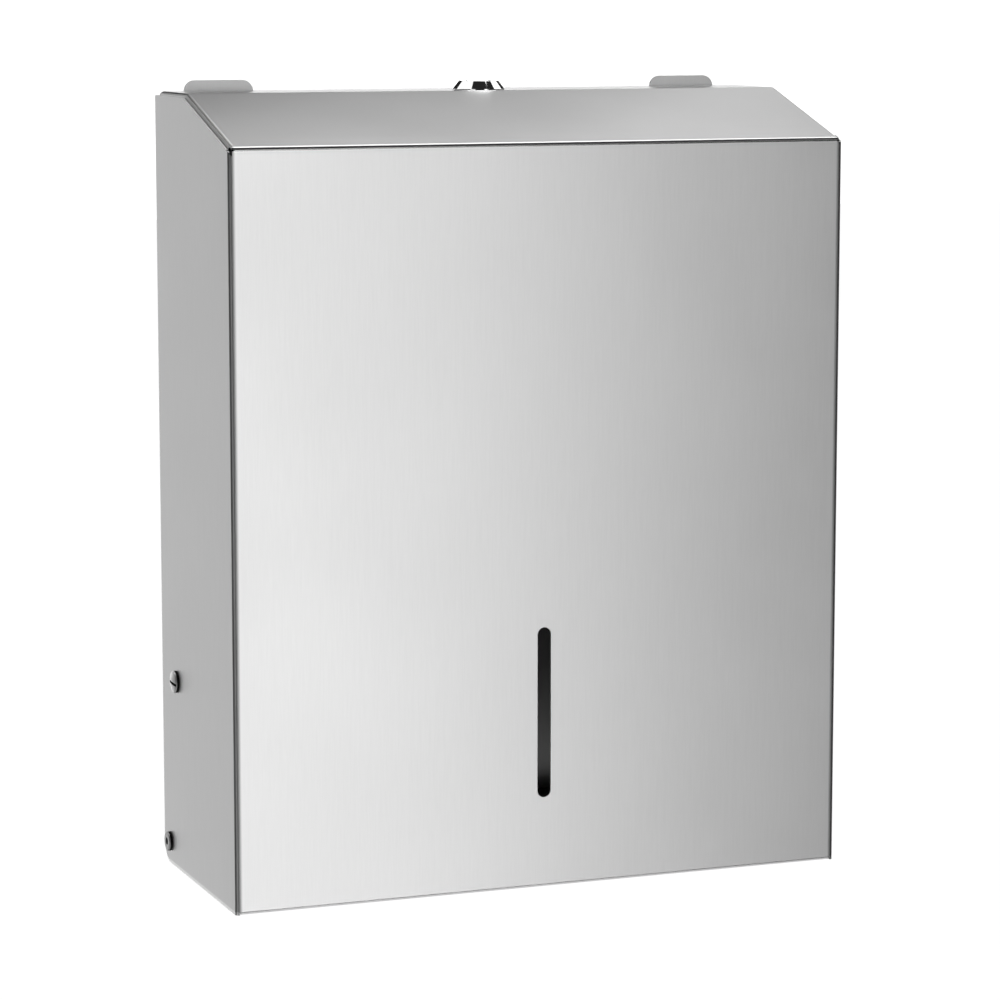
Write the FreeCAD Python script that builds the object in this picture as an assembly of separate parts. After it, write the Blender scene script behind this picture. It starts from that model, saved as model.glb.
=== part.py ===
import FreeCAD, Part
import math
import os

# Wall-mounted dispenser for folded paper towels: a folded steel cover that tilts open on a steel
# chassis. Millimetres. X runs to the right, Y towards the wall and Z up; the wall is the plane Y = 0.
# Heights are counted from the cover's bottom edge while modelling, and each finished piece is then
# lowered, so that the frame's origin is the centre of the four wall holes.

# Cover, one folded sheet
cover_width = 270.0
cover_depth = 106.0  # front face to the rear edges of the side walls
front_height = 312.0  # bottom edge to the fold above the front
top_height = 331.5
flat_depth = 39.0  # level part of the top, front to back
cover_sheet = 0.8
front_fold = 1.6  # outer radius
slope_fold = 3.0
cap_fold = 2.0
cap_flange = 12.0  # how far the top's sides and back are turned down
cap_start = 3.0  # from the front fold back to where those flanges begin
cap_setback = 3.0  # the top's rear edge, in front of the side walls' rear edges
side_drop = 1.7  # the side walls' cut edges lie this far under the top
side_seam = 0.3  # between a side wall and the top's flange
side_nose = 3.0  # rounding of a side wall's upper front corner
rear_nose = 1.0
hem_depth = 6.5
wall_gap = 0.5  # between the side walls and the wall

# Slot that shows how many towels are left
window_width = 6.0
window_length = 72.3
window_bottom = 38.5

# Hinge and stop, one pair at each side
pivot_setback = 9.0  # pivot axis to the side walls' rear edges
pivot_height = 9.6
opening_angle = 50.0
stop_radius = 73.4  # stop screw to pivot
stop_lean = 10.0  # degrees that the closed stop screw leans forward of the pivot

# Chassis, a folded wall plate
chassis_sheet = 1.0
chassis_fold = 1.8
chassis_gap = 1.6  # between a wing and the cover's side wall
chassis_bottom = 12.0
chassis_drop = 6.5  # plate's top edge under the cover's top
wing_lobe = 7.5  # round corner of a wing, about the pivot
wing_front_gap = 13.7  # wings to the cover's front panel
wing_shoulder = 104.0  # height up to which the wings keep their full depth
wing_neck_depth = 38.0
wing_neck_height = 150.0
wing_drop = 19.5  # wings' upper ends under the cover's top
wing_round = 10.0
tab_width = 30.7
tab_inset = 12.5  # from the cover's side
tab_rise = 4.3  # above the cover's top
tab_round = 5.0
wall_hole_radius = 3.0
wall_hole_span = 200.0  # across
wall_hole_rise = 200.0  # up and down
wall_centre_height = 165.0

# Towel tray
tray_sheet = 1.0
tray_fold = 1.8
tray_height = 16.0
tray_nose = 5.0  # lip in front of the wings
tray_lip = 12.0
tray_flange = 13.0
tray_fit = 0.1  # to the wall plate
outlet_width = 200.0
outlet_depth = 56.0
outlet_setback = 24.0  # rear edge of the outlet, from the wall
outlet_lip = 6.0
outlet_fold = 2.5
outlet_relief = 3.0

# Pivot screw, washer and nut
pivot_radius = 2.0
pivot_head_radius = 4.15
pivot_head_top_radius = 2.6
pivot_head = 1.6
pivot_socket = 2.5  # across flats
pivot_socket_depth = 1.1
pivot_nut_flats = 7.0
pivot_nut = 3.2
pivot_washer_radius = 6.5
running = 0.05  # radial clearance of the pivot in the cover
side_play = 0.1  # along the pivot, at each face

# Stop screw, bush, washer and nut
stop_thread = 2.5
stop_head_radius = 4.7
stop_head_top_radius = 3.0
stop_head = 2.6
stop_slot = 1.1
stop_slot_depth = 1.0
stop_slot_lean = 5.0
stop_bush_radius = 3.9
stop_bush_proud = 0.3
stop_washer_radius = 6.5
stop_washer = 0.8
stop_nut_flats = 8.0
stop_nut = 3.2
arc_play = 0.3
thread_proud = 0.5
loose_fit = 0.1  # bolts in their holes
thread_fit = 0.05

# Cam lock
lock_inset = 26.0  # axis in front of the top's rear edge
lock_head_radius = 11.25
lock_head_top_radius = 8.55
lock_head = 3.9
lock_body_radius = 9.5
lock_flats = 16.5
lock_length = 20.0
lock_washer_radius = 12.0
lock_washer = 1.0
lock_nut_flats = 22.0
lock_nut = 5.0
plug_radius = 6.0
plug_sink = 0.4
plug_fit = 0.06
keyway_width = 1.8
keyway_length = 8.0
keyway_depth = 9.0
cam_gap = 0.3
cam_sheet = 2.0
cam_hub_radius = 8.0
cam_width = 12.0
cam_reach = 23.0
cam_round = 2.5
cam_square = 8.0
cam_screw_thread = 2.0
cam_screw_length = 6.0
cam_screw_head_radius = 3.8
cam_screw_head = 2.4
cam_screw_slot = 1.0
cam_washer_radius = 6.0
cam_washer = 0.8

# Strike that the cam turns behind
strike_sheet = 1.5
strike_fold = 2.5
strike_gap = 0.8  # lip to the locked cam
strike_catch = 7.0  # how far the locked cam reaches behind the lip
strike_width = 24.0
strike_drop = 6.2  # cam's underside down to the shelf
strike_lip = 11.0
strike_foot = 15.0

# Places that follow from the sizes above
side_x = cover_width / 2
front_y = -wall_gap - cover_depth
cap_rear_y = -wall_gap - cap_setback
knee_y = cap_rear_y - flat_depth
cap_x = side_x - cover_sheet - side_seam
slope_angle = math.atan2(top_height - front_height, knee_y - front_y)
pivot_y = -wall_gap - pivot_setback
stop_y = pivot_y - stop_radius * math.sin(math.radians(stop_lean))
stop_z = pivot_height + stop_radius * math.cos(math.radians(stop_lean))
wing_x = side_x - cover_sheet - chassis_gap
wing_inner_x = wing_x - chassis_sheet
wing_depth = wall_gap + cover_depth - cover_sheet - wing_front_gap
wing_top = top_height - wing_drop
chassis_top = top_height - chassis_drop
tray_front = wing_depth + tray_nose
lock_y = cap_rear_y - lock_inset
lock_seat_z = top_height - cover_sheet
lock_end_z = top_height - lock_length
cam_top_z = lock_end_z - cam_gap
cam_bottom_z = cam_top_z - cam_sheet
TINY = 1e-6


def vector(x, y, z):
    return FreeCAD.Vector(x, y, z)


def at_x(x):
    """Places an outline drawn in (y, z)."""
    return lambda y, z: vector(x, y, z)


def at_y(y):
    """Places an outline drawn in (x, z)."""
    return lambda x, z: vector(x, y, z)


def at_z(z):
    """Places an outline drawn in (x, y)."""
    return lambda x, y: vector(x, y, z)


def rounding(before, corner, after, radius):
    """Start, middle and end of the arc that rounds one corner."""
    if radius == 0:
        return corner, corner, corner
    back = (before - corner).normalize()
    ahead = (after - corner).normalize()
    half = back.getAngle(ahead) / 2
    run = radius / math.tan(half)
    rise = radius / math.sin(half) - radius
    middle = corner + (back + ahead).normalize() * rise
    return corner + back * run, middle, corner + ahead * run


def outline(corners, place):
    """Closed wire through corners given as (u, v, rounding radius)."""
    points = [place(u, v) for u, v, radius in corners]
    arcs = []
    for i, (u, v, radius) in enumerate(corners):
        following = points[(i + 1) % len(points)]
        arcs.append(rounding(points[i - 1], points[i], following, radius))
    edges = []
    for i, (start, middle, end) in enumerate(arcs):
        if start.distanceToPoint(end) > TINY:
            edges.append(Part.Arc(start, middle, end).toShape())
        following = arcs[(i + 1) % len(arcs)][0]
        if end.distanceToPoint(following) > TINY:
            edges.append(Part.makeLine(end, following))
    return Part.Wire(edges)


def prism(corners, place, travel):
    """Solid made by moving a rounded outline along a straight line."""
    return Part.Face(outline(corners, place)).extrude(travel)


def strip_section(path, thickness):
    """Corners of a bent sheet's section. The path follows its outer face, with the sheet on the left."""
    points = [vector(u, v, 0) for u, v, radius in path]
    normals = []
    for start, end in zip(points, points[1:]):
        run = (end - start).normalize()
        normals.append(vector(-run.y, run.x, 0))
    inner = []
    for i, (u, v, radius) in enumerate(path):
        first = normals[max(i - 1, 0)]
        second = normals[min(i, len(normals) - 1)]
        shift = (first + second) * (thickness / (1 + first.dot(second)))
        turn = first.x * second.y - first.y * second.x
        inside = radius - math.copysign(thickness, turn) if radius else 0
        inner.append((u + shift.x, v + shift.y, inside))
    return list(path) + inner[::-1]


def cylinder(radius, start, end):
    """Round bar about the Z axis, between two heights."""
    return Part.makeCylinder(radius, end - start, vector(0, 0, start))


def ring(outer, inner, start, end):
    return cylinder(outer, start, end).cut(cylinder(inner, start, end))


def hexagon(across_flats, start, end):
    """Six-sided bar about the Z axis, with two flats square to Y."""
    corner = across_flats / math.sqrt(3)
    corners = []
    for i in range(6):
        angle = math.radians(60 * i)
        corners.append((corner * math.cos(angle), corner * math.sin(angle), 0))
    return prism(corners, at_z(start), vector(0, 0, end - start))


def hex_nut(across_flats, bore, start, end):
    return hexagon(across_flats, start, end).cut(cylinder(bore, start, end))


def tapered_head(radius, top_radius, start, height):
    """Head about the Z axis, narrower at its top."""
    return Part.makeCone(radius, top_radius, height, vector(0, 0, start))


def on_side(shape, y, z):
    """Turns a piece modelled along Z to lie along X, at the right side."""
    turned = shape.copy()
    turned.rotate(vector(0, 0, 0), vector(0, 1, 0), 90)
    turned.translate(vector(0, y, z))
    return turned


def mirrored(shape):
    return shape.mirror(vector(0, 0, 0), vector(1, 0, 0))


def slope_point(along, under):
    """Point in (y, z), up the slope from the front fold and square under its face."""
    y = front_y + along * math.cos(slope_angle) + under * math.sin(slope_angle)
    z = front_height + along * math.sin(slope_angle) - under * math.cos(slope_angle)
    return y, z


def knee_point(under):
    """Point in (y, z) at the fold between slope and top, under both faces."""
    return knee_y + under * math.tan(slope_angle / 2), top_height - under


def cap_block(under, start, depth, round_radius):
    """Body of the cover's upper part, sunk under its outer face, with its upper edges rounded."""
    half = cap_x - under
    rear = cap_rear_y - under
    top = top_height - under
    corners = [
        (*slope_point(start, under), 0),
        (*knee_point(under), slope_fold - under),
        (rear, top, 0),
        (rear, top_height - depth, 0),
        (*knee_point(depth), 0),
        (*slope_point(start, depth), 0),
    ]
    block = prism(corners, at_x(-half), vector(2 * half, 0, 0))

    def on_top(point):
        square_height = front_height + (point.y - front_y) * math.tan(slope_angle)
        on_slope = abs(point.z - square_height + under / math.cos(slope_angle)) < TINY
        return on_slope or abs(point.z - top) < TINY

    rounded = []
    for edge in block.Edges:
        ends = [vertex.Point for vertex in edge.Vertexes]
        at_rear = all(abs(point.y - rear) < TINY for point in ends)
        one_side = abs(ends[0].x - ends[-1].x) < TINY
        if all(on_top(point) for point in ends) and (one_side or at_rear):
            rounded.append(edge)
    return block.makeFillet(round_radius, rounded)


def cover_cap():
    """Slope and top with the flanges that are turned down at their sides and rear."""
    outside = cap_block(0, cap_start, cap_flange, cap_fold)
    inside = cap_block(cover_sheet, 0, 2 * cap_flange, cap_fold - cover_sheet)
    return outside.cut(inside)


def cover_front():
    """Front panel, with the hem at its bottom edge and the fold at its top."""
    path = [
        (*slope_point(cap_start, 0), 0),
        (front_y, front_height, front_fold),
        (front_y, 0, front_fold),
        (front_y + hem_depth, 0, 0),
    ]
    half = side_x - front_fold
    return prism(strip_section(path, cover_sheet), at_x(-half), vector(2 * half, 0, 0))


def cover_side():
    """Left side wall and the fold that joins it to the front."""
    path = [
        (-side_x, -wall_gap, 0),
        (-side_x, front_y, front_fold),
        (-side_x + front_fold, front_y, 0),
    ]
    wall = prism(strip_section(path, cover_sheet), at_z(0), vector(0, 0, top_height))
    slope_drop = side_drop / math.cos(slope_angle)
    corners = [
        (-wall_gap, 0, pivot_setback),
        (-wall_gap, top_height - side_drop, rear_nose),
        (*knee_point(side_drop), slope_fold),
        (front_y, front_height - slope_drop, side_nose),
        (front_y, 0, 0),
    ]
    return wall.common(prism(corners, at_x(-side_x), vector(front_fold, 0, 0)))


def lock_shank(radius, across_flats, start, end):
    """Round bar with two flats, which keep it from turning in its hole."""
    block = Part.makeBox(across_flats, 2 * radius, end - start, vector(-across_flats / 2, -radius, start))
    return cylinder(radius, start, end).common(block)


def cover_shell():
    left = cover_side()
    cover = cover_front().fuse([left, mirrored(left), cover_cap()])
    window = [
        (-window_width / 2, window_bottom, window_width / 2),
        (window_width / 2, window_bottom, window_width / 2),
        (window_width / 2, window_bottom + window_length, window_width / 2),
        (-window_width / 2, window_bottom + window_length, window_width / 2),
    ]
    holes = [prism(window, at_y(front_y - cover_sheet), vector(0, 3 * cover_sheet, 0))]
    for radius, y, z in (
        (pivot_radius + running, pivot_y, pivot_height),
        (stop_thread + loose_fit, stop_y, stop_z),
    ):
        holes.append(on_side(cylinder(radius, -cover_width, cover_width), y, z))
    holes.append(at_lock(lock_bore(lock_seat_z - cover_sheet, top_height + cover_sheet)))
    return cover.cut(holes).removeSplitter()


def arc_slot():
    """Curved slot in a wing, along the path of the stop bush from closed to open."""
    half = stop_bush_radius + arc_play

    def point(radius, angle):
        return vector(0, pivot_y - radius * math.sin(angle), pivot_height + radius * math.cos(angle))

    closed = math.radians(stop_lean)
    opened = math.radians(stop_lean + opening_angle)
    middle = (closed + opened) / 2
    past = half / stop_radius
    outer = stop_radius + half
    inner = stop_radius - half

    def end_cap(angle, beyond, from_radius, to_radius):
        centre = point(stop_radius, angle)
        tip = centre + (point(stop_radius, angle + beyond) - centre).normalize() * half
        return Part.Arc(point(from_radius, angle), tip, point(to_radius, angle)).toShape()

    edges = [
        Part.Arc(point(outer, closed), point(outer, middle), point(outer, opened)).toShape(),
        end_cap(opened, past, outer, inner),
        Part.Arc(point(inner, opened), point(inner, middle), point(inner, closed)).toShape(),
        end_cap(closed, -past, inner, outer),
    ]
    slot = Part.Face(Part.Wire(edges)).extrude(vector(cover_width, 0, 0))
    slot.translate(vector(-side_x, 0, 0))
    return slot


def back_plate():
    """Wall plate and its two wings, folded from one sheet, with two tabs behind the cover's top."""
    path = [
        (wing_x, -wing_depth, 0),
        (wing_x, 0, chassis_fold),
        (-wing_x, 0, chassis_fold),
        (-wing_x, -wing_depth, 0),
    ]
    wing_bottom = pivot_height - wing_lobe
    height = chassis_top - wing_bottom
    folded = prism(strip_section(path, chassis_sheet), at_z(wing_bottom), vector(0, 0, height))
    shape = [
        (chassis_sheet, chassis_bottom, 0),
        (pivot_y + wing_lobe, chassis_bottom, 0),
        (pivot_y + wing_lobe, wing_bottom, wing_lobe),
        (-wing_depth, wing_bottom, wing_round),
        (-wing_depth, wing_shoulder, wing_round),
        (-wing_neck_depth, wing_neck_height, 0),
        (-wing_neck_depth, wing_top, wing_round),
        (-chassis_fold, wing_top, 0),
        (-chassis_fold, chassis_top, 0),
        (chassis_sheet, chassis_top, 0),
    ]
    plate = folded.common(prism(shape, at_x(-side_x), vector(cover_width, 0, 0)))
    tab_outer = side_x - tab_inset
    tab_inner = tab_outer - tab_width
    tab = [
        (tab_inner, wing_top, 0),
        (tab_inner, top_height + tab_rise, tab_round),
        (tab_outer, top_height + tab_rise, tab_round),
        (tab_outer, wing_top, 0),
    ]
    right_tab = prism(tab, at_y(-chassis_sheet), vector(0, chassis_sheet, 0))
    plate = plate.fuse([right_tab, mirrored(right_tab)])
    holes = [arc_slot()]
    for x in (-wall_hole_span / 2, wall_hole_span / 2):
        for z in (-wall_hole_rise / 2, wall_hole_rise / 2):
            start = vector(x, -wing_depth, wall_centre_height + z)
            holes.append(Part.makeCylinder(wall_hole_radius, 2 * wing_depth, start, vector(0, 1, 0)))
    pivot_hole = cylinder(pivot_radius + loose_fit, -cover_width, cover_width)
    holes.append(on_side(pivot_hole, pivot_y, pivot_height))
    return plate.cut(holes).removeSplitter()


def towel_tray():
    """Folded shelf under the towels, with flanges spot-welded to the wings and an outlet with two lips."""
    half = wing_inner_x
    top = tray_height + tray_sheet
    rear = -chassis_sheet - tray_fit
    base_front = -tray_front + tray_fold
    outlet_rear = -outlet_setback
    outlet_front = outlet_rear - outlet_depth
    base_corners = [
        (-half + tray_fold, base_front, 0),
        (half - tray_fold, base_front, 0),
        (half - tray_fold, rear, 0),
        (-half + tray_fold, rear, 0),
    ]
    base = prism(base_corners, at_z(tray_height), vector(0, 0, tray_sheet))
    hole_corners = [
        (-outlet_width / 2, outlet_front - outlet_fold, 0),
        (outlet_width / 2, outlet_front - outlet_fold, 0),
        (outlet_width / 2, outlet_rear + outlet_fold, 0),
        (-outlet_width / 2, outlet_rear + outlet_fold, 0),
    ]
    base = base.cut(prism(hole_corners, at_z(tray_height), vector(0, 0, tray_sheet)))
    flange_path = [
        (-half, tray_height + tray_flange, 0),
        (-half, tray_height, tray_fold),
        (-half + tray_fold, tray_height, 0),
    ]
    flange_start = base_front + outlet_relief
    flange_run = vector(0, -chassis_fold - tray_fit - flange_start, 0)
    flange = prism(strip_section(flange_path, tray_sheet), at_y(flange_start), flange_run)
    lip_path = [
        (-tray_front, tray_height + tray_lip, 0),
        (-tray_front, tray_height, tray_fold),
        (base_front, tray_height, 0),
    ]
    lip_half = half - tray_fold
    lip = prism(strip_section(lip_path, tray_sheet), at_x(-lip_half), vector(2 * lip_half, 0, 0))
    front_path = [
        (outlet_front, top - outlet_lip, 0),
        (outlet_front, top, outlet_fold),
        (outlet_front - outlet_fold, top, 0),
    ]
    rear_path = [
        (outlet_rear + outlet_fold, top, 0),
        (outlet_rear, top, outlet_fold),
        (outlet_rear, top - outlet_lip, 0),
    ]
    edge_half = outlet_width / 2 - outlet_relief
    edges = []
    for path in (front_path, rear_path):
        section = strip_section(path, tray_sheet)
        edges.append(prism(section, at_x(-edge_half), vector(2 * edge_half, 0, 0)))
    return base.fuse([flange, mirrored(flange), lip] + edges).removeSplitter()


def lock_strike():
    """Bracket welded to the wall plate: a shelf with a lip in front of the locked cam."""
    lip_y = lock_y - cam_width / 2 - strike_gap
    shelf_z = cam_bottom_z - strike_drop
    path = [
        (lip_y - strike_sheet, shelf_z + strike_lip, 0),
        (lip_y - strike_sheet, shelf_z - strike_sheet, strike_fold),
        (-chassis_sheet, shelf_z - strike_sheet, strike_fold),
        (-chassis_sheet, shelf_z + strike_foot, 0),
    ]
    start = cam_reach - strike_catch
    return prism(strip_section(path, strike_sheet), at_x(start), vector(strike_width, 0, 0))


def pivot_screw():
    """Screw with a low head and a hexagon socket, which the cover turns on."""
    seat = side_x + side_play
    end = wing_inner_x - pivot_nut - thread_proud
    head = tapered_head(pivot_head_radius, pivot_head_top_radius, seat, pivot_head)
    socket = hexagon(pivot_socket, seat + pivot_head - pivot_socket_depth, seat + pivot_head)
    return head.cut(socket).fuse(cylinder(pivot_radius, end, seat)).removeSplitter()


def pivot_washer():
    end = side_x - cover_sheet - side_play
    return ring(pivot_washer_radius, pivot_radius + loose_fit, wing_x + side_play, end)


def pivot_nut_piece():
    return hex_nut(pivot_nut_flats, pivot_radius + thread_fit, wing_inner_x - pivot_nut, wing_inner_x)


def stop_stack():
    """Distances from the middle to the ends of the bush, its washer and its nut."""
    bush_end = wing_inner_x - stop_bush_proud
    washer_end = bush_end - stop_washer
    return bush_end, washer_end, washer_end - stop_nut


def stop_screw():
    """Slotted screw that carries the bush along the wing's arc slot."""
    end = stop_stack()[2] - thread_proud
    head = tapered_head(stop_head_radius, stop_head_top_radius, side_x, stop_head)
    corner = vector(-stop_slot / 2, -stop_head_radius, side_x + stop_head - stop_slot_depth)
    slot = Part.makeBox(stop_slot, 2 * stop_head_radius, stop_slot_depth, corner)
    slot.rotate(vector(0, 0, 0), vector(0, 0, 1), -stop_slot_lean)
    return head.cut(slot).fuse(cylinder(stop_thread, end, side_x)).removeSplitter()


def stop_bush():
    """Nylon sleeve that runs in the wing's slot, between the cover's side wall and the washer."""
    bush_end = stop_stack()[0]
    return ring(stop_bush_radius, stop_thread + thread_fit, bush_end, side_x - cover_sheet)


def stop_washer_piece():
    bush_end, washer_end, nut_end = stop_stack()
    return ring(stop_washer_radius, stop_thread + loose_fit, washer_end, bush_end)


def stop_nut_piece():
    bush_end, washer_end, nut_end = stop_stack()
    return hex_nut(stop_nut_flats, stop_thread + thread_fit, nut_end, washer_end)


def at_lock(shape):
    moved = shape.copy()
    moved.translate(vector(0, lock_y, 0))
    return moved


def lock_housing():
    """Tapered head on a round shank with two flats."""
    head = tapered_head(lock_head_radius, lock_head_top_radius, top_height, lock_head)
    shank = lock_shank(lock_body_radius, lock_flats, lock_end_z, top_height)
    bore = cylinder(plug_radius + plug_fit, lock_end_z, top_height + lock_head)
    return at_lock(head.fuse(shank).cut(bore).removeSplitter())


def lock_bore(start, end):
    """Hole for the lock's shank, flats and all."""
    return lock_shank(lock_body_radius + loose_fit, lock_flats + 2 * loose_fit, start, end)


def lock_washer_piece():
    start = lock_seat_z - lock_washer
    return at_lock(cylinder(lock_washer_radius, start, lock_seat_z).cut(lock_bore(start, lock_seat_z)))


def lock_nut_piece():
    end = lock_seat_z - lock_washer
    return at_lock(hex_nut(lock_nut_flats, lock_body_radius + thread_fit, end - lock_nut, end))


def square_bar(across, start, end):
    corner = vector(-across / 2, -across / 2, start)
    return Part.makeBox(across, across, end - start, corner)


def lock_plug():
    """Barrel that the key turns, with a square end for the cam."""
    face = top_height + lock_head - plug_sink
    barrel = cylinder(plug_radius, cam_top_z, face)
    corner = vector(-keyway_width / 2, -keyway_length / 2, face - keyway_depth)
    keyway = Part.makeBox(keyway_width, keyway_length, keyway_depth, corner)
    square = square_bar(cam_square, cam_bottom_z, cam_top_z)
    screw_hole = cylinder(cam_screw_thread + thread_fit, cam_bottom_z, cam_bottom_z + cam_screw_length)
    return at_lock(barrel.cut(keyway).fuse(square).cut(screw_hole).removeSplitter())


def lock_cam():
    """Flat blade on the barrel's square end, pointing at the wall while unlocked."""
    blade_corners = [
        (-cam_width / 2, 0, 0),
        (-cam_width / 2, cam_reach, cam_round),
        (cam_width / 2, cam_reach, cam_round),
        (cam_width / 2, 0, 0),
    ]
    blade = prism(blade_corners, at_z(cam_bottom_z), vector(0, 0, cam_sheet))
    hub = cylinder(cam_hub_radius, cam_bottom_z, cam_top_z)
    square = square_bar(cam_square + 2 * loose_fit, cam_bottom_z, cam_top_z)
    return at_lock(hub.fuse(blade).cut(square).removeSplitter())


def cam_washer_piece():
    bore = cam_screw_thread + loose_fit
    return at_lock(ring(cam_washer_radius, bore, cam_bottom_z - cam_washer, cam_bottom_z))


def cam_screw():
    """Slotted cheese-head screw that holds the cam on the barrel."""
    seat = cam_bottom_z - cam_washer
    head = cylinder(cam_screw_head_radius, seat - cam_screw_head, seat)
    corner = vector(-cam_screw_slot / 2, -cam_screw_head_radius, seat - cam_screw_head)
    slot = Part.makeBox(cam_screw_slot, 2 * cam_screw_head_radius, cam_screw_slot, corner)
    end = cam_bottom_z + cam_screw_length - thread_proud
    thread = cylinder(cam_screw_thread, seat, end)
    return at_lock(head.cut(slot).fuse(thread).removeSplitter())


def save(name, shape):
    """Writes one piece, lowered so that the frame's origin is the centre of the wall holes."""
    placed = shape.copy()
    placed.translate(vector(0, 0, -wall_centre_height))
    placed.exportStep(f"parts/{name}.step")


os.makedirs("parts", exist_ok=True)

single_pieces = {
    "cover_shell": cover_shell(),
    "lock_housing": lock_housing(),
    "lock_washer": lock_washer_piece(),
    "lock_nut": lock_nut_piece(),
    "lock_plug": lock_plug(),
    "lock_cam": lock_cam(),
    "cam_washer": cam_washer_piece(),
    "cam_screw": cam_screw(),
    "back_plate": back_plate(),
    "towel_tray": towel_tray(),
    "lock_strike": lock_strike(),
}
for name, shape in single_pieces.items():
    save(name, shape)

screws = {
    "pivot_screw": on_side(pivot_screw(), pivot_y, pivot_height),
    "stop_screw": on_side(stop_screw(), stop_y, stop_z),
}
for name, shape in screws.items():
    save(f"{name}_right", shape)
    save(f"{name}_left", mirrored(shape))

# Small pieces inside, the right one and the left one in one file
inner_pairs = {
    "pivot_washers": on_side(pivot_washer(), pivot_y, pivot_height),
    "pivot_nuts": on_side(pivot_nut_piece(), pivot_y, pivot_height),
    "stop_bushes": on_side(stop_bush(), stop_y, stop_z),
    "stop_washers": on_side(stop_washer_piece(), stop_y, stop_z),
    "stop_nuts": on_side(stop_nut_piece(), stop_y, stop_z),
}
for name, shape in inner_pairs.items():
    save(name, Part.makeCompound([shape, mirrored(shape)]))
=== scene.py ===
import math

import bpy
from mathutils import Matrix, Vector


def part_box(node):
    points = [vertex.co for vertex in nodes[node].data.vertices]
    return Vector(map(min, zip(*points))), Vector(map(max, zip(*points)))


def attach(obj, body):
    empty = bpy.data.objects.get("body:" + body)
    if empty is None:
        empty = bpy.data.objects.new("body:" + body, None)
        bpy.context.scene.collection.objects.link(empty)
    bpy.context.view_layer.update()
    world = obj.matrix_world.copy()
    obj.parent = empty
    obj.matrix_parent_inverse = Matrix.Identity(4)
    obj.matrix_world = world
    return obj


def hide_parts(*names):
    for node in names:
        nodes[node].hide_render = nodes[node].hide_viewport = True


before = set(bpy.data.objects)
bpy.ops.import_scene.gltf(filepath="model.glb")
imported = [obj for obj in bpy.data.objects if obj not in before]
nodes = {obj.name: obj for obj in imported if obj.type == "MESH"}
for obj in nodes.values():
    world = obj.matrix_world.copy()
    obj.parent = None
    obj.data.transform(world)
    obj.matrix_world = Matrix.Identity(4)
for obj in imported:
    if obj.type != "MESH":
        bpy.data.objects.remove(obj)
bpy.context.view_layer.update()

scene = bpy.context.scene


# Cover: one sheet of 0.8 mm stainless steel, folded into a front, two side walls, a slope and a top. The
# outside is ground to a fine satin grain that runs up the walls and back over the top, and the cut edges
# are deburred. It turns on the two pivot screws and carries the cam lock and the stop screws.

class Shader:
    """Short ways to add and join the nodes of one material."""

    def __init__(self, name):
        self.material = bpy.data.materials.new(name)
        self.material.use_nodes = True
        self.tree = self.material.node_tree
        self.surface = self.tree.nodes["Principled BSDF"]
        self.place = self.tree.nodes.new("ShaderNodeTexCoord").outputs["Object"]

    def put(self, socket, value):
        if isinstance(value, bpy.types.NodeSocket):
            self.tree.links.new(value, socket)
        else:
            socket.default_value = value

    def set(self, label, value):
        """Fills an input of the surface itself."""
        self.put(self.surface.inputs[label], value)

    def add(self, kind, settings=(), **inputs):
        """New node. Inputs are named _0, _1 and so on, or by their label."""
        node = self.tree.nodes.new("ShaderNode" + kind)
        for key, value in dict(settings).items():
            setattr(node, key, value)
        for key, value in inputs.items():
            index = key[1:]
            self.put(node.inputs[int(index) if index.isdigit() else key], value)
        return node

    def math(self, operation, first, second=0.0):
        return self.add("Math", {"operation": operation}, _0=first, _1=second).outputs[0]

    def total(self, first, *others):
        for other in others:
            first = self.math("ADD", first, other)
        return first

    def product(self, first, *others):
        for other in others:
            first = self.math("MULTIPLY", first, other)
        return first

    def ramp(self, value, low, high, to_low, to_high, step="SMOOTHSTEP"):
        """Step of a value, from to_low under low to to_high over high, soft unless it is LINEAR."""
        node = self.add("MapRange", {"interpolation_type": step}, Value=value)
        for key, number in (("From Min", low), ("From Max", high), ("To Min", to_low), ("To Max", to_high)):
            node.inputs[key].default_value = number
        return node.outputs[0]

    def noise(self, place, scale, detail=2.0):
        return self.add("TexNoise", Vector=place, Scale=scale, Detail=detail).outputs[0]

    def spread(self, noise, low, high):
        """Noise drawn out between two values. Nearly all of it lies between 0.3 and 0.7."""
        return self.ramp(noise, 0.3, 0.7, low, high)

    def from_axis(self, y, z, axis):
        """Distance from an axis that lies across the object, given as (y, z)."""
        arm_y, arm_z = self.math("SUBTRACT", y, axis[0]), self.math("SUBTRACT", z, axis[1])
        arm = self.add("CombineXYZ", _0=arm_y, _1=arm_z).outputs[0]
        return self.add("VectorMath", {"operation": "LENGTH"}, _0=arm).outputs["Value"]

    def metal(self, tone, roughness):
        self.set("Base Color", self.add("CombineColor", _0=tone, _1=tone, _2=tone).outputs[0])
        self.set("Metallic", 1.0)
        self.set("Roughness", roughness)

    def bump(self, height, depth=0.000001):
        """Relief of the surface. With the usual depth, heights are in micrometres."""
        self.set("Normal", self.add("Bump", Distance=depth, Height=height).outputs[0])


sheet, bend = 0.0008, 0.0016
cover_low, cover_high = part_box("cover_shell")
front_fold = (cover_low[1] + bend, 0.1455)
slope_middle, slope_half, slope_crown = -0.0745, 0.032, 280.0


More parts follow.
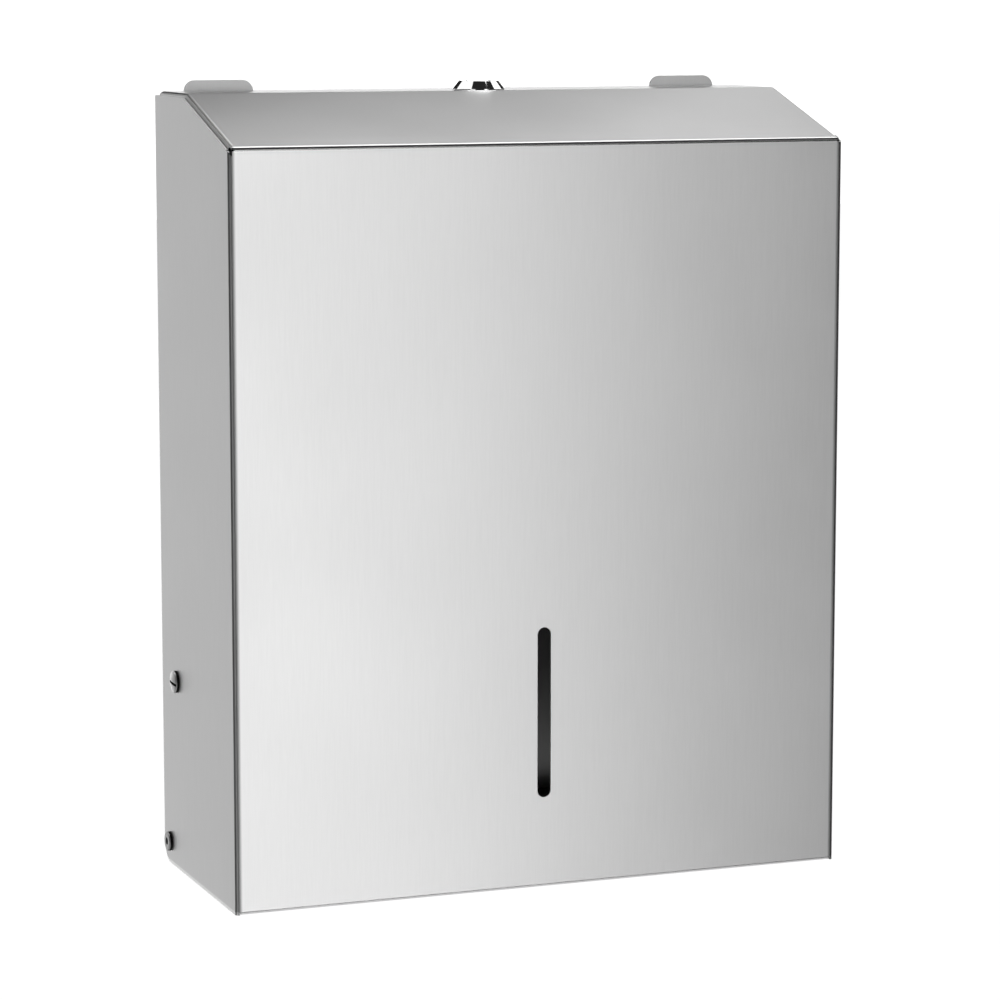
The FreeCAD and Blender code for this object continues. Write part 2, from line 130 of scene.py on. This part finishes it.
def ground_steel(name, tone, roughness, wall_roughness, anisotropy, wear_and_painted_light):
    """Sheet steel with a straight grain: up and down on the walls, front to back on level faces."""
    shader = Shader(name)
    x, y, z = shader.add("SeparateXYZ", _0=shader.place).outputs
    facing = shader.add("SeparateXYZ", _0=shader.add("TexCoord").outputs["Normal"]).outputs
    on_wall = shader.math("GREATER_THAN", shader.math("ABSOLUTE", facing[0]), 0.7)
    off_wall = shader.math("SUBTRACT", 1.0, on_wall)
    upward = shader.ramp(facing[2], 0.5, 0.8, 0.0, 1.0)
    turn = {"vector_type": "VECTOR", "convert_from": "OBJECT", "convert_to": "WORLD"}
    across = shader.add("CombineXYZ", _0=off_wall, _1=on_wall, _2=0.0).outputs[0]
    shader.set("Tangent", shader.add("VectorTransform", turn, _0=across).outputs[0])

    over = shader.total(shader.product(x, off_wall), shader.product(y, on_wall))
    along = shader.total(y, z)
    lines = []
    for line_width, line_length, share in ((0.0006, 0.014, 0.65), (0.0018, 0.05, 0.35)):
        line_place = shader.add(
            "CombineXYZ",
            _0=shader.math("DIVIDE", over, line_width),
            _1=shader.math("DIVIDE", along, line_length),
            _2=shader.product(on_wall, 7.0),
        ).outputs[0]
        lines.append(shader.product(shader.noise(line_place, 1.0), share))
    contrast = shader.ramp(upward, 0.0, 1.0, 1.0, 0.35)
    grain = shader.total(shader.product(shader.total(*lines, -0.5), contrast), 0.5)
    clouds = shader.noise(shader.place, 16.0, 3.0)

    # The tone changes from this call are painted highlights, painted shade and painted black reflections,
    # besides real rubbing on the wings.
    tone_from_wear_and_painted_light, wear_roughness = wear_and_painted_light(shader, x, y, z, on_wall, off_wall, upward)
    tints = (shader.spread(grain, -0.01, 0.01), shader.spread(clouds, -0.01, 0.01))
    gloss = (shader.spread(grain, -0.004, 0.004), shader.spread(clouds, -0.008, 0.008))
    base_roughness = shader.ramp(on_wall, 0.0, 1.0, roughness, wall_roughness)
    shader.metal(shader.total(tone, *tints, tone_from_wear_and_painted_light), shader.total(base_roughness, *gloss, wear_roughness))
    shader.set("Anisotropic", anisotropy)

    ripple_height = shader.ramp(upward, 0.0, 1.0, 13.0, 26.0)
    ripple = shader.product(shader.noise(shader.place, 22.0, 1.0), ripple_height)
    from_middle = shader.ramp(y, slope_middle - slope_half, slope_middle + slope_half, -1.0, 1.0, "LINEAR")
    bowed = shader.product(from_middle, from_middle, off_wall, -slope_crown)
    shader.bump(shader.total(shader.product(grain, 0.06), bowed, ripple))
    return shader.material


def cover_painted_light_and_gloss(shader, x, y, z, on_wall, off_wall, upward):
    """Changes of tone and roughness: painted shade and black reflections along the upright folds, a polished
    front fold over a painted black line, and painted highlights along the bottom and along the cut edges of
    the side walls."""
    lighter, darker, polished, raw = 0.28, -0.45, -0.12, 0.3
    from_side = shader.math("SUBTRACT", cover_high[0], shader.math("ABSOLUTE", x))
    from_front = shader.math("SUBTRACT", y, cover_low[1])
    from_bottom = shader.math("SUBTRACT", z, cover_low[2])
    over_fold = shader.math("SUBTRACT", z, front_fold[1])
    from_fold = shader.from_axis(y, z, front_fold)

    beside = shader.product(shader.ramp(from_side, bend, bend + 0.0014, 1.0, 0.0), off_wall)
    before = shader.product(shader.ramp(from_front, bend - 0.0007, bend + 0.0001, 1.0, 0.0), on_wall)
    on_bend = shader.ramp(from_fold, bend + 0.00006, bend + 0.00014, 1.0, 0.0)
    on_bend = shader.product(on_bend, shader.ramp(over_fold, 0.0, 0.0002, 0.0, 1.0))
    under_bend = shader.product(on_bend, shader.ramp(over_fold, 0.0005, 0.0008, 1.0, 0.0))
    bottom = shader.ramp(from_bottom, sheet, sheet + 0.001, 1.0, 0.0)
    cut = shader.product(upward, shader.ramp(from_side, sheet - 0.0001, sheet + 0.0001, 1.0, 0.0))

    # The lighter tone on the bottom edge and cut edges is a painted highlight; the darker tone along the
    # folds is painted shade and painted black reflection.
    painted_highlight = shader.product(shader.total(bottom, cut), lighter)
    painted_shade_and_reflection = shader.product(shader.total(beside, before, under_bend), darker)
    roughness = shader.total(shader.product(on_bend, polished), shader.product(cut, raw))
    return shader.total(painted_highlight, painted_shade_and_reflection), roughness


def select_only(piece):
    bpy.ops.object.select_all(action="DESELECT")
    piece.select_set(True)
    bpy.context.view_layer.objects.active = piece


def hang(piece, body, slot, material, *replaced):
    """Gives a finished piece its material and its body, and hides the nodes that it stands for. The slot is
    not used.
    """
    piece.data.materials.clear()
    piece.data.materials.append(material)
    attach(piece, body)
    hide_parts(*replaced)


def break_edges(piece, width, angle):
    """Bevels the edges of the active piece where its faces meet at more than an angle."""
    bevel = piece.modifiers.new("break", "BEVEL")
    bevel.width = width
    bevel.segments = 2
    bevel.limit_method = "ANGLE"
    bevel.angle_limit = math.radians(angle)
    bpy.ops.object.modifier_apply(modifier="break")


def deburred(node, width):
    """Copy of a node with its sharp edges broken and its folds smooth."""
    piece = bpy.data.objects.new(node + "_finished", nodes[node].data.copy())
    scene.collection.objects.link(piece)
    select_only(piece)
    bpy.ops.object.mode_set(mode="EDIT")
    bpy.ops.mesh.select_all(action="SELECT")
    bpy.ops.mesh.remove_doubles(threshold=0.000002)
    bpy.ops.mesh.dissolve_limited(angle_limit=math.radians(0.8))
    bpy.ops.object.mode_set(mode="OBJECT")
    bpy.ops.object.shade_smooth_by_angle(angle=math.radians(30))
    break_edges(piece, width, 35)
    bpy.ops.object.shade_smooth_by_angle(angle=math.radians(50))
    weighted = piece.modifiers.new("flat", "WEIGHTED_NORMAL")
    weighted.keep_sharp = True
    bpy.ops.object.modifier_apply(modifier="flat")
    return piece


cover_steel = ground_steel("satin_cover_steel", 0.68, 0.3, 0.45, 0.65, cover_painted_light_and_gloss)
hang(deburred("cover_shell", 0.0001), "cover", "cover_steel", cover_steel, "cover_shell")


# Chassis: a wall plate with two wings, folded from 1 mm steel, the towel tray that is spot-welded between
# the wings, and the strike that is spot-welded to the plate behind the lock. The two tabs that stand up
# behind the cover are ground, and all below them keeps the matt finish of the mill and is painted darker
# as shade inside the housing.

def middle(node):
    """Axis of a piece that lies across the object, as (y, z)."""
    low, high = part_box(node)
    return (low[1] + high[1]) / 2, (low[2] + high[2]) / 2


pivot_axis, stop_axis = middle("pivot_screw_left"), middle("stop_screw_left")
tabs_start = cover_high[2] - 0.001


def chassis_wear_and_painted_shade(shader, x, y, z, on_wall, off_wall, upward):
    """Changes of tone and roughness: rougher below the tabs and painted darker there as shade inside the
    housing, and rubbed where the bushes run on the wings.
    """
    painted_shade_tone, rougher, brighter, smoother = -0.45, 0.25, 0.04, -0.01
    below_tabs = shader.ramp(z, tabs_start - 0.002, tabs_start, 1.0, 0.0)
    path = math.dist(pivot_axis, stop_axis)
    off_path = shader.math("ABSOLUTE", shader.math("SUBTRACT", shader.from_axis(y, z, pivot_axis), path))
    rubbed = shader.product(shader.ramp(off_path, 0.0055, 0.0075, 1.0, 0.0), on_wall)
    # Below the tabs the tone is painted darker as shade inside the housing; the rubbed band is real.
    tone = shader.total(shader.product(below_tabs, painted_shade_tone), shader.product(rubbed, brighter))
    return tone, shader.total(shader.product(below_tabs, rougher), shader.product(rubbed, smoother))


chassis_steel = ground_steel("mill_steel_with_painted_shade", 0.85, 0.4, 0.42, 0.8, chassis_wear_and_painted_shade)
for node in ("back_plate", "towel_tray", "lock_strike"):
    hang(deburred(node, 0.00012), "chassis", "chassis_steel", chassis_steel, node)


# Cam lock: a chromed housing with a tapered head, pushed down through the cover's top and held by a
# washer and a nut on its threaded shank. The barrel with the keyway turns in it, and a screw with a
# washer holds the steel cam on the barrel's square end.

def plated(name, tone, roughness, scale):
    """Plated metal with faint handling marks in its gloss."""
    shader = Shader(name)
    specks = shader.noise(shader.place, scale, 3.0)
    smears = shader.noise(shader.place, scale / 12, 2.0)
    gloss = shader.ramp(smears, 0.35, 0.65, roughness * 0.8, roughness * 1.2)
    shader.metal(shader.spread(specks, tone - 0.02, tone + 0.02), gloss)
    shader.bump(specks)
    return shader.material


def turned(name, section, sides=96):
    """Round piece about the Z axis, drawn out ring by ring. A section that ends where it starts leaves
    a bore."""
    radius, height = section[0]
    end_face = "NOTHING" if section[0] == section[-1] else "NGON"
    bpy.ops.object.select_all(action="DESELECT")
    bpy.ops.mesh.primitive_circle_add(
        vertices=sides, radius=radius, fill_type=end_face, location=(0, 0, height)
    )
    piece = bpy.context.active_object
    piece.name = name
    bpy.ops.object.mode_set(mode="EDIT")
    bpy.ops.mesh.select_all(action="SELECT")
    for next_radius, next_height in section[1:]:
        bpy.ops.mesh.extrude_region_move(TRANSFORM_OT_translate={"value": (0, 0, next_height - height)})
        grow = next_radius / radius
        bpy.ops.transform.resize(value=(grow, grow, 1), center_override=(0, 0, next_height))
        radius, height = next_radius, next_height
    bpy.ops.mesh.select_all(action="SELECT")
    bpy.ops.mesh.remove_doubles(threshold=0.000002)
    bpy.ops.mesh.normals_make_consistent(inside=False)
    bpy.ops.object.mode_set(mode="OBJECT")
    bpy.ops.object.transform_apply()
    return piece


def rounded(radius, height, bend_radius, start, end, steps=5):
    """Points of a quarter or part round, about a centre at a radius and height, between two angles."""
    points = []
    for i in range(steps + 1):
        angle = math.radians(start + (end - start) * i / steps)
        points.append((radius + bend_radius * math.cos(angle), height + bend_radius * math.sin(angle)))
    return points


def block(size, centre, turn=0.0):
    """Square block to cut with or to join on, turned about the Z axis."""
    bpy.ops.object.select_all(action="DESELECT")
    bpy.ops.mesh.primitive_cube_add(size=1, location=centre, rotation=(0, 0, math.radians(turn)))
    piece = bpy.context.active_object
    piece.scale = size
    bpy.ops.object.transform_apply()
    return piece


def hexagon(flats, start, end):
    """Six-sided bar about the Z axis."""
    bpy.ops.object.select_all(action="DESELECT")
    bpy.ops.mesh.primitive_cylinder_add(
        vertices=6, radius=flats / math.sqrt(3), depth=end - start, location=(0, 0, (start + end) / 2)
    )
    bpy.ops.object.transform_apply()
    return bpy.context.active_object


def combine(piece, other, operation="DIFFERENCE"):
    """Cuts a piece with another, joins the two or keeps what both share, and removes the other."""
    select_only(piece)
    modifier = piece.modifiers.new("cut", "BOOLEAN")
    modifier.operation = operation
    modifier.solver = "EXACT"
    modifier.object = other
    bpy.ops.object.modifier_apply(modifier="cut")
    bpy.data.objects.remove(other)


def eased(piece, width):
    """Breaks the edges of a machined piece and smooths its round faces."""
    select_only(piece)
    break_edges(piece, width, 40)
    bpy.ops.object.shade_smooth_by_angle(angle=math.radians(32))
    return piece


def set_at(piece, place, axis_turn=0.0):
    """Moves a piece made at the origin to its place, with its Z axis turned about Y first."""
    select_only(piece)
    piece.rotation_euler = (0, math.radians(axis_turn), 0)
    piece.location = place
    bpy.ops.object.transform_apply()
    return piece


def thread(radius, root, start, pitch, count):
    """Section of a screw thread, with flat crests and roots in turn."""
    points = []
    for i in range(count):
        foot = start + i * pitch
        points += [(radius, foot), (radius, foot + pitch * 0.2)]
        points += [(root, foot + pitch * 0.5), (root, foot + pitch * 0.7)]
    return points


lock_low, lock_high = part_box("lock_housing")
lock_place = ((lock_low[0] + lock_high[0]) / 2, (lock_low[1] + lock_high[1]) / 2, 0)
lock_foot, lock_crown = lock_low[2], lock_high[2]
top_face = cover_high[2]
chrome = plated("bright_chrome", 0.86, 0.06, 900.0)
zinc = plated("zinc_plate", 0.62, 0.36, 1500.0)

bore, shank, shank_root, across_flats = 0.00606, 0.0095, 0.0091, 0.0165
head_foot, head_top, ease = 0.01125, 0.0086, 0.0004
housing_section = [(bore + ease, lock_foot), (0.0089, lock_foot)]
housing_section += thread(shank, shank_root, lock_foot + ease, 0.001, 19)
housing_section += [(shank, top_face), (head_foot - 0.0003, top_face)]
housing_section += [(head_foot, top_face + 0.0002), (head_foot, top_face + ease)]
housing_section += rounded(head_top - ease, lock_crown - ease, ease, 35, 90, 4)
housing_section += [(bore + 0.0008, lock_crown), (bore, lock_crown - 0.0006), (bore, lock_foot + ease)]
housing_section.append(housing_section[0])
housing = turned("lock_housing_chromed", housing_section, 128)
cutter_width, flat_height = 0.004, top_face - lock_foot
for side in (-1, 1):
    flat_middle = (side * (across_flats + cutter_width) / 2, 0, lock_foot + flat_height / 2 - 0.00002)
    combine(housing, block((cutter_width, 0.024, flat_height), flat_middle))
select_only(housing)
bpy.ops.object.shade_smooth_by_angle(angle=math.radians(25))
hang(set_at(housing, lock_place), "cover", "bright_steel", chrome, "lock_housing")

barrel_radius, barrel_face, barrel_end = 0.006, lock_crown - ease, lock_foot - 0.0003
keyway_width, keyway_length, keyway_depth = 0.0018, 0.008, 0.009
ward_width, wards = 0.0011, ((0.0022, 0.0012, -0.0016), (0.0018, -0.0012, 0.0019))
square_side, square_depth, screw_hole = 0.008, 0.002, 0.00205
barrel_section = [(barrel_radius - ease, barrel_end), (barrel_radius, barrel_end + ease)]
barrel_section += [(barrel_radius, barrel_face - ease), (barrel_radius - ease, barrel_face)]
barrel = turned("lock_barrel_chromed", barrel_section)
combine(barrel, block((keyway_width, keyway_length, keyway_depth * 2), (0, 0, barrel_face)))
for ward_length, ward_x, ward_y in wards:
    combine(barrel, block((ward_width, ward_length, keyway_depth * 2), (ward_x, ward_y, barrel_face)))
square = block((square_side, square_side, square_depth), (0, 0, barrel_end - square_depth / 2))
hole_start = barrel_end - square_depth - 0.0001
combine(square, turned("screw_hole", [(screw_hole, hole_start), (screw_hole, barrel_end + 0.001)], 48))
combine(barrel, square, "UNION")
combine(barrel, turned("screw_hole", [(screw_hole, hole_start), (screw_hole, barrel_end + 0.004)], 48))
hang(set_at(eased(barrel, 0.00008), lock_place), "lock_barrel", "bright_steel", chrome, "lock_plug")


def washer(name, radius, hole, start, end):
    """Punched washer, round on one side and sharp on the other."""
    round_edge = (end - start) * 0.25
    section = [(hole + round_edge / 2, start), (radius - round_edge, start), (radius, start + round_edge)]
    section += [(radius, end), (hole, end), (hole, start + round_edge / 2)]
    section.append(section[0])
    return turned(name, section)


def nut(name, flats, hole, start, end):
    """Hexagon nut with chamfered corners and a countersunk thread."""
    corner, face = flats / math.sqrt(3), flats / 2 * 0.98
    cone = (corner - flats / 2) * math.tan(math.radians(30)) * 1.1
    sink = hole * 0.1
    section = [(hole + sink, start), (face, start), (corner, start + cone), (corner, end - cone)]
    section += [(face, end), (hole + sink, end), (hole, end - sink), (hole, start + sink)]
    section.append(section[0])
    piece = turned(name, section)
    combine(piece, hexagon(flats, start - 0.001, end + 0.001), "INTERSECT")
    return eased(piece, 0.00006)


ring_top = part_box("lock_washer")[1][2]
ring_thickness, nut_height = 0.001, 0.005
nut_top = ring_top - ring_thickness
lock_ring = washer("lock_washer_zinc", 0.012, 0.0096, nut_top, ring_top)
for side in (-1, 1):
    key = block((0.0014, 0.0088, ring_thickness), (side * 0.0090, 0, ring_top - ring_thickness / 2))
    combine(lock_ring, key, "UNION")
hang(set_at(eased(lock_ring, 0.00005), lock_place), "cover", "plain_steel", zinc, "lock_washer")
lock_nut = nut("lock_nut_zinc", 0.022, 0.00955, nut_top - nut_height, nut_top)
hang(set_at(lock_nut, lock_place), "cover", "plain_steel", zinc, "lock_nut")
for node in ("lock_cam", "cam_washer", "cam_screw"):
    hang(deburred(node, 0.00015), "lock_barrel", "plain_steel", zinc, node)


# Pivot screws: an M4 screw with a low round head and a hexagon socket at each bottom rear corner. It
# passes through the cover, a nylon washer and the wing, and a nut on the inside keeps it in place.

def both_sides(name, make, axis, body, slot, material, *replaced):
    """Makes a piece for each side, pointing outwards. It stands for the node of its side, or both pieces
    stand for one node."""
    for side, turn in (("right", 90), ("left", -90)):
        piece = set_at(make(f"{name}_{side}"), (0, *axis), turn)
        own = [node for node in replaced if node.endswith(side)]
        hang(piece, body, slot, material, *(own or replaced))


def turned_steel(name, tone, roughness, axis, crown, dome, recess):
    """Steel of a screw in its own tone on its crown, with painted shade in its recess and a painted black
    reflection down its side.
    """
    dark_tone, dark_roughness = 0.03, 0.6
    shader = Shader(name)
    x, y, z = shader.add("SeparateXYZ", _0=shader.place).outputs
    away = shader.from_axis(y, z, axis)
    sag = shader.math("DIVIDE", shader.product(away, away), dome * 2)
    below_top = shader.math("SUBTRACT", crown, shader.math("ABSOLUTE", x))
    depth = shader.math("SUBTRACT", below_top, sag)
    in_recess = shader.ramp(depth, 0.00003, 0.00012, 0.0, 1.0)
    in_recess = shader.product(in_recess, shader.math("LESS_THAN", away, recess))
    on_side = shader.ramp(depth, 0.00045, 0.00065, 0.0, 1.0)
    # The near-black tone is painted shade in the recess and a painted black reflection down the side.
    painted_shade_and_reflection = shader.math("MAXIMUM", in_recess, on_side)
    smears = shader.noise(shader.place, 400.0, 3.0)
    tint = shader.spread(smears, -0.02, 0.02)
    gloss = shader.spread(smears, -0.03, 0.03)
    shader.metal(
        shader.total(shader.ramp(painted_shade_and_reflection, 0.0, 1.0, tone, dark_tone), tint),
        shader.total(shader.ramp(painted_shade_and_reflection, 0.0, 1.0, roughness, dark_roughness), gloss),
    )
    rings = shader.math("SINE", shader.product(away, 30000.0))
    shader.bump(shader.total(smears, shader.product(rings, 0.15)))
    return shader.material


wing_inside, wing_outside = 0.1316, 0.1326
pivot_seat, pivot_top = cover_high[0] + 0.0001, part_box("pivot_screw_right")[1][0]


def pivot_screw(name):
    end = wing_inside - 0.0037
    shank_radius, root, head, round_edge = 0.002, 0.0017, 0.00415, 0.0004
    socket, socket_floor = 0.0015, pivot_top - 0.0012
    section = [(0.0015, end), (shank_radius, end + 0.0004)]
    section += thread(shank_radius, root, end + 0.0005, 0.0007, 4)
    section += [(shank_radius, wing_inside), (shank_radius, pivot_seat)]
    section += [(head - 0.00015, pivot_seat), (head, pivot_seat + 0.00015)]
    section += rounded(head - round_edge, pivot_top - round_edge, round_edge, 0, 90)
    section += [(socket + 0.0002, pivot_top), (socket, pivot_top - 0.0002)]
    section += [(socket, socket_floor), (0.0004, socket_floor - 0.0004)]
    piece = turned(name, section)
    flats, wall, wall_start, wall_end = 0.0025, 0.0019, pivot_top - 0.0011, pivot_top - 0.00025
    ring_section = [(flats / 2, wall_start), (wall, wall_start), (wall, wall_end), (flats / 2, wall_end)]
    ring = turned("socket_wall", ring_section + ring_section[:1])
    combine(ring, hexagon(flats, pivot_top - 0.002, pivot_top))
    combine(piece, ring, "UNION")
    return eased(piece, 0.00004)


pivot_steel = turned_steel("pivot_screw_steel", 0.55, 0.6, pivot_axis, pivot_top, 1000.0, 0.00155)
both_sides(
    "pivot_screw_polished", pivot_screw, pivot_axis, "chassis", "bright_steel", pivot_steel,
    "pivot_screw_left", "pivot_screw_right",
)


def moulded_nylon(name):
    """Natural nylon, a little translucent."""
    shader = Shader(name)
    clouds = shader.noise(shader.place, 300.0, 3.0)
    red, green, blue = (shader.spread(clouds, tone, tone + 0.06) for tone in (0.78, 0.77, 0.72))
    shader.set("Base Color", shader.add("CombineColor", _0=red, _1=green, _2=blue).outputs[0])
    shader.set("Roughness", shader.spread(clouds, 0.38, 0.5))
    shader.set("Subsurface Weight", 0.15)
    shader.set("Subsurface Radius", (0.001, 0.001, 0.0009))
    shader.bump(clouds, 0.00001)
    return shader.material


def pivot_washer(name):
    return eased(washer(name, 0.0065, 0.0021, wing_outside + 0.0001, wing_outside + 0.0015), 0.0001)


def pivot_nut(name):
    return nut(name, 0.007, 0.00205, wing_inside - 0.0032, wing_inside)


nylon = moulded_nylon("natural_nylon")
both_sides("pivot_washer_nylon", pivot_washer, pivot_axis, "chassis", "nylon", nylon, "pivot_washers")
both_sides("pivot_nut_zinc", pivot_nut, pivot_axis, "chassis", "plain_steel", zinc, "pivot_nuts")


# Stop screws: a slotted M5 pan-head screw in each side wall. Its nylon bush runs in the wing's arc slot
# and stops the cover when it is shut and when it is fully open, and a washer and nut close the stack.

stop_seat, stop_top = cover_high[0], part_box("stop_screw_right")[1][0]
bush_end = wing_inside - 0.0003
pan_rim, pan_crown = 0.00455, 0.0009
pan_dome = (pan_rim ** 2 + pan_crown ** 2) / (2 * pan_crown)


def stop_screw(name):
    end = bush_end - 0.0045
    shank_radius, root, head, rim_round = 0.0025, 0.0021, 0.0047, 0.00025
    slot_width, slot_depth, slot_turn, cutter_height = 0.0012, 0.0012, -9, 0.003
    section = [(0.0019, end), (shank_radius, end + 0.0004)]
    section += thread(shank_radius, root, end + 0.0005, 0.0008, 5)
    section += [(shank_radius, bush_end), (shank_radius, stop_seat)]
    section += [(head - 0.0002, stop_seat), (head, stop_seat + 0.0002)]
    section += rounded(pan_rim - 0.0001, stop_top - pan_crown - rim_round, rim_round, 0, 70)
    section += rounded(0, stop_top - pan_dome, pan_dome, 68.5, 89.5, 14)
    piece = turned(name, section)
    slot_middle = (0, 0, stop_top - slot_depth + cutter_height / 2)
    combine(piece, block((slot_width, 0.012, cutter_height), slot_middle, slot_turn))
    return eased(piece, 0.00006)


def stop_bush(name):
    return eased(washer(name, 0.0039, 0.00255, bush_end, wing_outside + 0.0016), 0.00005)


def stop_washer(name):
    return eased(washer(name, 0.0065, 0.0026, bush_end - 0.0008, bush_end), 0.00005)


def stop_nut(name):
    return nut(name, 0.008, 0.00255, bush_end - 0.004, bush_end - 0.0008)


stop_steel = turned_steel("stop_screw_steel", 0.66, 0.45, stop_axis, stop_top, pan_dome, 0.0043)
both_sides(
    "stop_screw_polished", stop_screw, stop_axis, "cover", "bright_steel", stop_steel,
    "stop_screw_left", "stop_screw_right",
)
both_sides("stop_bush_nylon", stop_bush, stop_axis, "cover", "nylon", nylon, "stop_bushes")
both_sides("stop_washer_zinc", stop_washer, stop_axis, "cover", "plain_steel", zinc, "stop_washers")
both_sides("stop_nut_zinc", stop_nut, stop_axis, "cover", "plain_steel", zinc, "stop_nuts")


# Studio: a pale floor far below, a white surround that only the camera sees, soft panels round the object
# and a camera where the photographer stood. The panels are grouped by what mirrors them, and to whom.

def studio_panel(name, azimuth, elevation, distance, width, height, radiance):
    """Area light in the direction of an azimuth, counted from the front to the right, and an elevation."""
    watts_per_area = 4.0
    light = bpy.data.lights.new(name, "AREA")
    light.shape = "RECTANGLE"
    light.size = width
    light.size_y = height
    light.energy = radiance * watts_per_area * width * height
    panel = bpy.data.objects.new(name, light)
    scene.collection.objects.link(panel)
    turn, rise = math.radians(azimuth), math.radians(elevation)
    away = Vector((math.sin(turn) * math.cos(rise), -math.cos(turn) * math.cos(rise), math.sin(rise)))
    panel.location = away * distance
    panel.rotation_euler = away.to_track_quat("Z", "Y").to_euler()
    panel.visible_camera = False


# Mirrored to the camera by the front and the tabs, and then by the left side wall
studio_panel("front_left", 10, -10, 2.3, 0.32, 2.5, 2.73)
studio_panel("front_middle", 18, -10, 2.3, 0.32, 2.5, 1.08)
studio_panel("side_rear", -165, -8, 2.3, 0.8, 2.2, 1.47)
studio_panel("side_middle", -145, -8, 2.3, 0.8, 2.2, 0.57)
studio_panel("side_front", -125, -8, 2.3, 0.8, 2.2, 0.35)

# Mirrored to the camera by the slope, by the folds beside it, by the top and by the head of the lock
studio_panel("slope_left", 154, 32, 2.3, 0.5, 1.0, 0.31)
studio_panel("slope_right", 142, 32, 2.3, 0.5, 1.0, 0.41)
studio_panel("overhead", 150, 70, 2.1, 1.8, 1.6, 1.8)
studio_panel("rear_strip", 156, 5, 2.3, 1.1, 0.5, 2.2)
studio_panel("crown_right", 107, 45, 2.2, 0.9, 0.85, 1.15)
studio_panel("crown_left", -137, 58, 2.2, 1.28, 1.59, 0.92)

# Mirrored to other views, by the front, the right wall, the back, the inside and the top
studio_panel("left_fill", -45, -18, 2.3, 0.9, 2.0, 1.2)
studio_panel("right_fill", 95, -8, 2.3, 0.9, 2.0, 0.5)
studio_panel("rear_low", 140, -20, 2.3, 1.8, 1.6, 0.9)
studio_panel("below", 0, -88, 1.8, 2.2, 2.2, 0.5)
studio_panel("right_front", 47, 20, 2.3, 1.0, 0.8, 0.6)
studio_panel("left_rear", -133, 27, 2.3, 1.0, 0.5, 0.6)

world = bpy.data.worlds.new("studio")
scene.world = world
world.use_nodes = True
world_tree = world.node_tree
world_tree.nodes.clear()
light_path = world_tree.nodes.new("ShaderNodeLightPath")
shade = world_tree.nodes.new("ShaderNodeBackground")
white = world_tree.nodes.new("ShaderNodeBackground")
mix = world_tree.nodes.new("ShaderNodeMixShader")
output = world_tree.nodes.new("ShaderNodeOutputWorld")
shade.inputs["Color"].default_value = (0.02, 0.02, 0.02, 1)
white.inputs["Color"].default_value = (1, 1, 1, 1)
white.inputs["Strength"].default_value = 1.2
world_tree.links.new(light_path.outputs["Is Camera Ray"], mix.inputs[0])
world_tree.links.new(shade.outputs[0], mix.inputs[1])
world_tree.links.new(white.outputs[0], mix.inputs[2])
world_tree.links.new(mix.outputs[0], output.inputs[0])

bpy.ops.object.select_all(action="DESELECT")
bpy.ops.mesh.primitive_plane_add(size=60, location=(0, 0, -1.9))
floor = bpy.context.active_object
floor.name = "floor"
floor_shader = Shader("pale_floor")
floor_shader.set("Base Color", (0.9, 0.9, 0.9, 1))
floor_shader.set("Emission Color", (1, 1, 1, 1))
floor_shader.set("Emission Strength", 1.0)
floor_shader.set("Roughness", 0.8)
floor.data.materials.append(floor_shader.material)
floor.visible_glossy = False
floor.visible_diffuse = False

camera_data = bpy.data.cameras.new("camera")
camera_data.lens = 130.17
camera_data.clip_end = 100
camera = bpy.data.objects.new("camera", camera_data)
scene.collection.objects.link(camera)
tilt_down, turn_right = 8.139, 21.001
camera.location = (-0.549, -1.4851, 0.2116)
camera.rotation_euler = (math.radians(90 - tilt_down), 0, math.radians(-turn_right))
scene.camera = camera
scene.view_settings.view_transform = "Standard"
